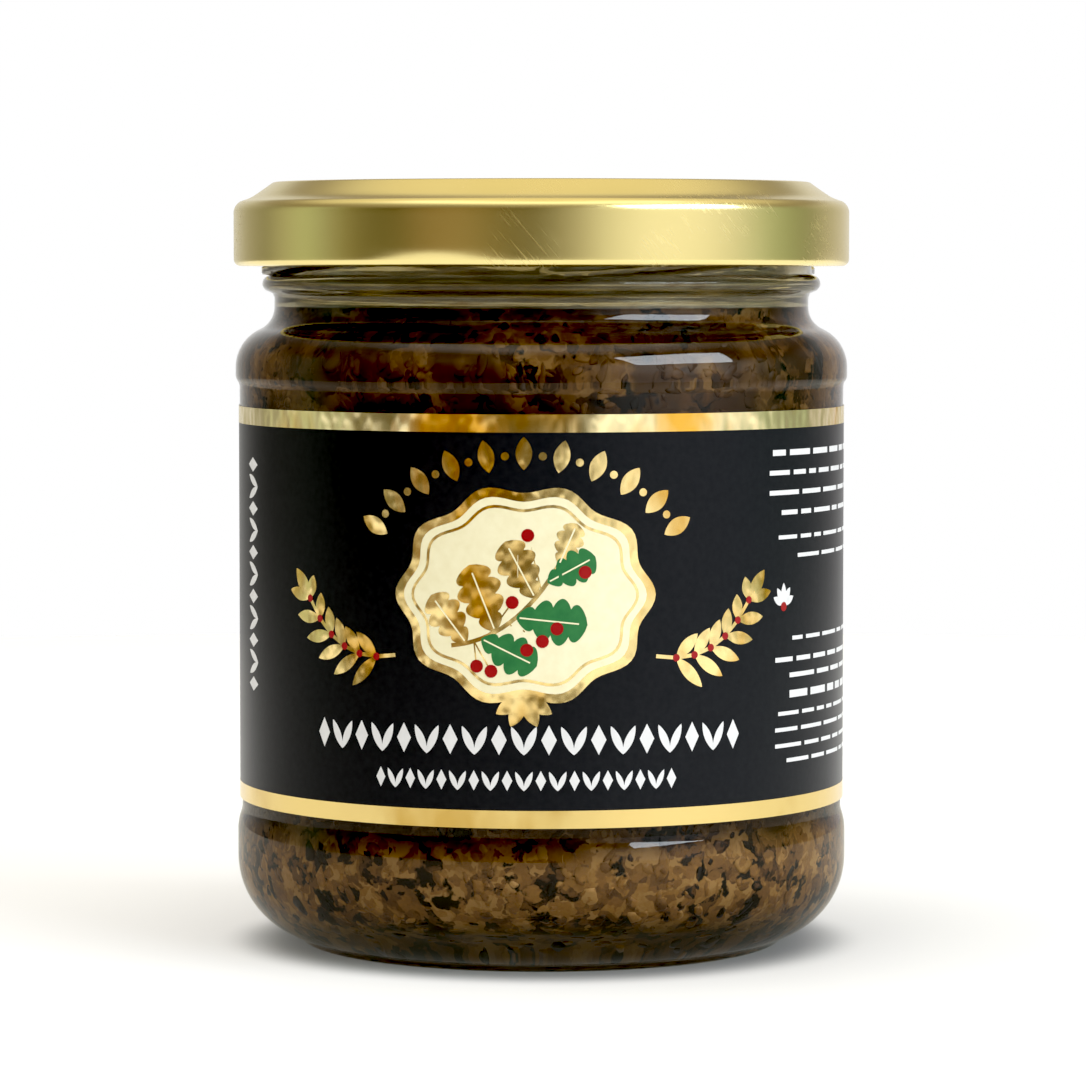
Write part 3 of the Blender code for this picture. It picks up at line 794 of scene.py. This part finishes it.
def press_lugs(shape):
    """Push the skirt's foot in at each lug, and flatten the curl there into a tab."""
    for vert in shape.verts:
        radius, height = vert.co.xy.length / MM, vert.co.z / MM
        if radius < 31.0 or height > LID_LOW_Z + LUG_RISE:
            continue
        off = (angle_round_jar(vert.co) - LUG_ANGLE + 45) % 90 - 45
        press = smooth_step(1 - abs(off) / LUG_SPREAD)
        tab = smooth_step((LUG_TAB_SPREAD - abs(off)) / 2.5)
        low = smooth_step((LID_LOW_Z + LUG_RISE - height) / LUG_RISE)
        inward = LUG_PRESS * press * low
        if height < LID_LOW_Z + 2.1 * CURL_R and radius < LID_R - CURL_R:
            inward += LUG_REACH * tab * smooth_step((LID_R - CURL_R - radius) / CURL_R)
            flat = LID_LOW_Z + 0.08 + (height - LID_LOW_Z) * 0.33
            vert.co.z += (flat - height) * tab * MM
        vert.co.xy *= (radius - inward) / radius


lacquer, tree, shader = new_material("gold_lacquered_tinplate")
place = add_node(tree, "ShaderNodeTexCoord").outputs["Object"]
tint = add_node(tree, "ShaderNodeTexNoise", {"Vector": place, "Scale": 120.0, "Detail": 2.0})
shade = colour_ramp(tree, tint.outputs["Fac"], [(0.0, (0.84, 0.70, 0.30)),
                                                (1.0, (0.90, 0.76, 0.35))])
scratch_map = add_node(tree, "ShaderNodeMapping", {"Vector": place, "Rotation": (0.0, -0.7, 0.0),
                                                   "Scale": (1.0, 4.0, 26.0)},
                       vector_type="TEXTURE")
scratch = add_node(tree, "ShaderNodeTexNoise", {"Vector": scratch_map.outputs[0], "Scale": 4200.0,
                                                "Detail": 1.0})
patches = add_node(tree, "ShaderNodeTexNoise", {"Vector": place, "Scale": 60.0})
worn = add_node(tree, "ShaderNodeMapRange", {"Value": patches.outputs["Fac"], "From Min": 0.50,
                                             "From Max": 0.62})
line = add_node(tree, "ShaderNodeMapRange", {"Value": scratch.outputs["Fac"], "From Min": 0.60,
                                             "From Max": 0.68})
rubbed = add_node(tree, "ShaderNodeMath", {0: worn.outputs[0], 1: line.outputs[0]},
                  operation="MULTIPLY")
scuff = add_node(tree, "ShaderNodeMapRange", {"Value": rubbed.outputs[0], "To Min": 0.24,
                                              "To Max": 0.36})
mark = add_node(tree, "ShaderNodeBump", {"Height": rubbed.outputs[0], "Strength": 0.05,
                                         "Distance": 0.00003})
tree.links.new(shade.outputs["Color"], shader.inputs["Base Color"])
tree.links.new(scuff.outputs[0], shader.inputs["Roughness"])
tree.links.new(mark.outputs[0], shader.inputs["Normal"])
shader.inputs["Metallic"].default_value = 1.0
shader.inputs["Coat Weight"].default_value = 0.15
shader.inputs["Coat Roughness"].default_value = 0.14

lid_shape = spin_outline(lid_outline(), LID_STEPS)
press_lugs(lid_shape)
finish_piece("lid_shell", lid_shape, lacquer, "lid", "lid", sharp=50)

# The studio: a round white table top and a white backdrop. A soft grey ring under the foot
# is a painted contact shadow, and seen in or through the clear glass the table is painted
# darker, a painted dim reflection. One soft box stands at the front right, a wide one hangs
# overhead, and walls of many greys round the room shade the gold and the glass.
TABLE_R = 0.42
FOOT_SHADOW_RING, FOOT_SHADOW_LEVEL = (0.027, 0.036), 0.50
TABLE_PAINT, TABLE_DIM_REFLECTION, TABLE_GLOW = (0.60, 0.60, 0.60), (0.38, 0.37, 0.34, 1.0), 0.12
table_shape = bmesh.new()
bmesh.ops.create_circle(table_shape, cap_ends=True, segments=128, radius=TABLE_R)
table_mesh = bpy.data.meshes.new("table_top")
table_shape.to_mesh(table_mesh)
table_shape.free()
table_top = bpy.data.objects.new("table_top", table_mesh)
bpy.context.scene.collection.objects.link(table_top)
white_table, tree, shader = new_material("white_table")
in_the_glass = add_node(tree, "ShaderNodeLightPath").outputs["Is Singular Ray"]
place = add_node(tree, "ShaderNodeTexCoord").outputs["Object"]
off_centre = add_node(tree, "ShaderNodeVectorMath", {0: place}, operation="LENGTH")
# painted contact shadow: the table's paint and its faint glow are darkened in a soft ring under the
# foot
painted_foot_shadow = add_node(tree, "ShaderNodeMapRange", {
    "Value": off_centre.outputs["Value"], "From Min": FOOT_SHADOW_RING[0], "From Max": FOOT_SHADOW_RING[1],
    "To Min": FOOT_SHADOW_LEVEL, "To Max": 1.0}, interpolation_type="SMOOTHSTEP")
shaded = add_node(tree, "ShaderNodeVectorMath", {0: TABLE_PAINT, "Scale": painted_foot_shadow.outputs[0]},
                  operation="SCALE")
# painted dim reflection: seen in or through the clear glass the table is a darker grey
paint = add_node(tree, "ShaderNodeMix", {0: in_the_glass, 6: shaded.outputs[0],
                                         7: TABLE_DIM_REFLECTION}, data_type="RGBA")
glow = add_node(tree, "ShaderNodeMath", {0: painted_foot_shadow.outputs[0], 1: TABLE_GLOW},
                operation="MULTIPLY")
tree.links.new(paint.outputs[2], shader.inputs["Base Color"])
tree.links.new(glow.outputs[0], shader.inputs["Emission Strength"])
shader.inputs["Roughness"].default_value = 0.6
shader.inputs["Specular IOR Level"].default_value = 0.1
shader.inputs["Emission Color"].default_value = (1.0, 1.0, 1.0, 1.0)
table_mesh.materials.append(white_table)
table_top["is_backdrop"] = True


def soft_box(name, azimuth, elevation, distance, width, height, power, colour, mirrored):
    """A soft box aimed at the jar; azimuth 0 is on the camera's side, 90 to its right."""
    lamp = bpy.data.lights.new(name, "AREA")
    lamp.shape = "RECTANGLE"
    lamp.size, lamp.size_y = width, height
    lamp.energy = power
    lamp.color = colour
    turn, rise = math.radians(azimuth), math.radians(elevation)
    aim = Vector((0, 0, 0.04))
    away = Vector((math.sin(turn) * math.cos(rise), -math.cos(turn) * math.cos(rise),
                   math.sin(rise)))
    box = bpy.data.objects.new(name, lamp)
    box.location = aim + away * distance
    box.rotation_euler = away.to_track_quat("Z", "Y").to_euler()
    box.visible_glossy = mirrored
    bpy.context.scene.collection.objects.link(box)


soft_box("right_box", 57, 33, 1.3, 0.95, 0.50, 11.5, (0.84, 0.92, 1.0), True)
soft_box("top_box", -60, 80, 1.3, 1.2, 1.2, 18.0, (1.0, 0.99, 0.97), False)

# A stop of the ceiling is the sine of an elevation, and a stop of the walls is an azimuth.
CEILING = [
    (0.45, (0.30, 0.27, 0.24)), (0.60, (0.36, 0.33, 0.29)), (0.74, (0.52, 0.50, 0.45)),
    (0.82, (1.10, 1.07, 0.97)), (0.90, (1.72, 1.69, 1.57)), (0.96, (1.50, 1.42, 1.22)),
    (1.0, (1.0, 0.87, 0.64)),
]
CARD_TOP = (0.34, 0.47)
BACK_CEILING, BACK_FROM, BACK_HIGH_FROM = (0.92, 0.84, 0.66, 1.0), (0.02, 0.28), (0.58, 0.80)
WALLS = [
    (-180, (0.92, 0.92, 0.92)), (-160, (0.70, 0.69, 0.66)), (-141, (0.44, 0.43, 0.40)),
    (-124, (0.28, 0.28, 0.25)), (-110, (0.46, 0.47, 0.40)), (-98, (0.54, 0.62, 0.50)),
    (-87, (0.39, 0.42, 0.36)), (-77, (0.27, 0.25, 0.18)), (-67, (0.15, 0.14, 0.11)),
    (-55, (0.13, 0.12, 0.09)), (-42, (0.29, 0.22, 0.16)), (-28, (0.31, 0.24, 0.17)),
    (-17, (0.20, 0.17, 0.12)), (-8, (0.14, 0.12, 0.10)), (0, (0.16, 0.15, 0.13)),
    (8, (0.33, 0.32, 0.30)), (14, (0.48, 0.47, 0.46)), (21, (0.72, 0.72, 0.71)),
    (29, (0.90, 0.90, 0.89)), (40, (1.05, 1.05, 1.05)), (60, (1.02, 1.02, 1.02)),
    (72, (0.84, 0.85, 0.85)), (81, (0.68, 0.73, 0.72)), (92, (0.48, 0.56, 0.50)),
    (103, (0.36, 0.43, 0.36)), (116, (0.29, 0.32, 0.28)), (131, (0.49, 0.48, 0.46)),
    (152, (0.69, 0.67, 0.66)), (180, (0.92, 0.92, 0.92)),
]
world = bpy.data.worlds.new("studio")
bpy.context.scene.world = world
world.use_nodes = True
tree = world.node_tree
room = tree.nodes["Background"]
toward = add_node(tree, "ShaderNodeTexCoord").outputs["Generated"]
part = add_node(tree, "ShaderNodeSeparateXYZ", {0: toward})
ahead = add_node(tree, "ShaderNodeMath", {0: part.outputs["Y"], 1: -1.0}, operation="MULTIPLY")
bearing = add_node(tree, "ShaderNodeMath", {0: part.outputs["X"], 1: ahead.outputs[0]},
                   operation="ARCTAN2")
share = add_node(tree, "ShaderNodeMapRange", {"Value": bearing.outputs[0], "From Min": -math.pi,
                                              "From Max": math.pi})
walls = colour_ramp(tree, share.outputs[0],
                    [((azimuth + 180) / 360, colour) for azimuth, colour in WALLS])
upward = add_node(tree, "ShaderNodeMapRange", {"Value": part.outputs["Z"],
                                               "From Min": CARD_TOP[0], "From Max": CARD_TOP[1]})
ceiling = colour_ramp(tree, part.outputs["Z"], CEILING)
above = add_node(tree, "ShaderNodeMix", {0: upward.outputs[0], 6: walls.outputs["Color"],
                                         7: ceiling.outputs["Color"]}, data_type="RGBA")
over_back = add_node(tree, "ShaderNodeMapRange", {"Value": part.outputs["Y"],
                                                  "From Min": BACK_FROM[0],
                                                  "From Max": BACK_FROM[1]})
overhead = add_node(tree, "ShaderNodeMapRange", {"Value": part.outputs["Z"],
                                                 "From Min": BACK_HIGH_FROM[0],
                                                 "From Max": BACK_HIGH_FROM[1]})
back_high = add_node(tree, "ShaderNodeMath", {0: over_back.outputs[0], 1: overhead.outputs[0]},
                     operation="MULTIPLY")
room_light = add_node(tree, "ShaderNodeMix", {0: back_high.outputs[0], 6: above.outputs[2],
                                              7: BACK_CEILING}, data_type="RGBA")
seen = add_node(tree, "ShaderNodeLightPath").outputs["Is Camera Ray"]
shown = add_node(tree, "ShaderNodeMix", {0: seen, 6: room_light.outputs[2],
                                         7: (1.0, 1.0, 1.0, 1.0)}, data_type="RGBA")
tree.links.new(shown.outputs[2], room.inputs["Color"])
room.inputs["Strength"].default_value = 1.0

# The picture is developed with a plain curve whose blacks are pulled down a little, as
# the photograph's are.
BLACK_LEVEL = 0.035
look = bpy.context.scene.view_settings
look.view_transform = "Standard"
look.use_curve_mapping = True
look.curve_mapping.black_level = (BLACK_LEVEL, BLACK_LEVEL, BLACK_LEVEL)
look.curve_mapping.update()

# The camera: a long lens close to level with the lid, looking slightly down, as fitted to
# the edges of the label, the lid and the foot in the photograph.
FRAME_PX = 1086
FOCAL_PX, AXIS_PX = 4732.0, 541.4
CAMERA_AWAY, CAMERA_UP, CAMERA_DOWN = 0.5172, 0.0750, 0.061
camera = bpy.data.cameras.new("camera")
camera.sensor_width = 36.0
camera.lens = FOCAL_PX / FRAME_PX * camera.sensor_width
camera.shift_x = (FRAME_PX / 2 - AXIS_PX) / FRAME_PX
camera.clip_start = 0.01
viewer = bpy.data.objects.new("camera", camera)
viewer.location = (0.0, -CAMERA_AWAY, CAMERA_UP)
viewer.rotation_euler = (math.pi / 2 - CAMERA_DOWN, 0.0, 0.0)
bpy.context.scene.collection.objects.link(viewer)
bpy.context.scene.camera = viewer

low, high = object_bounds()
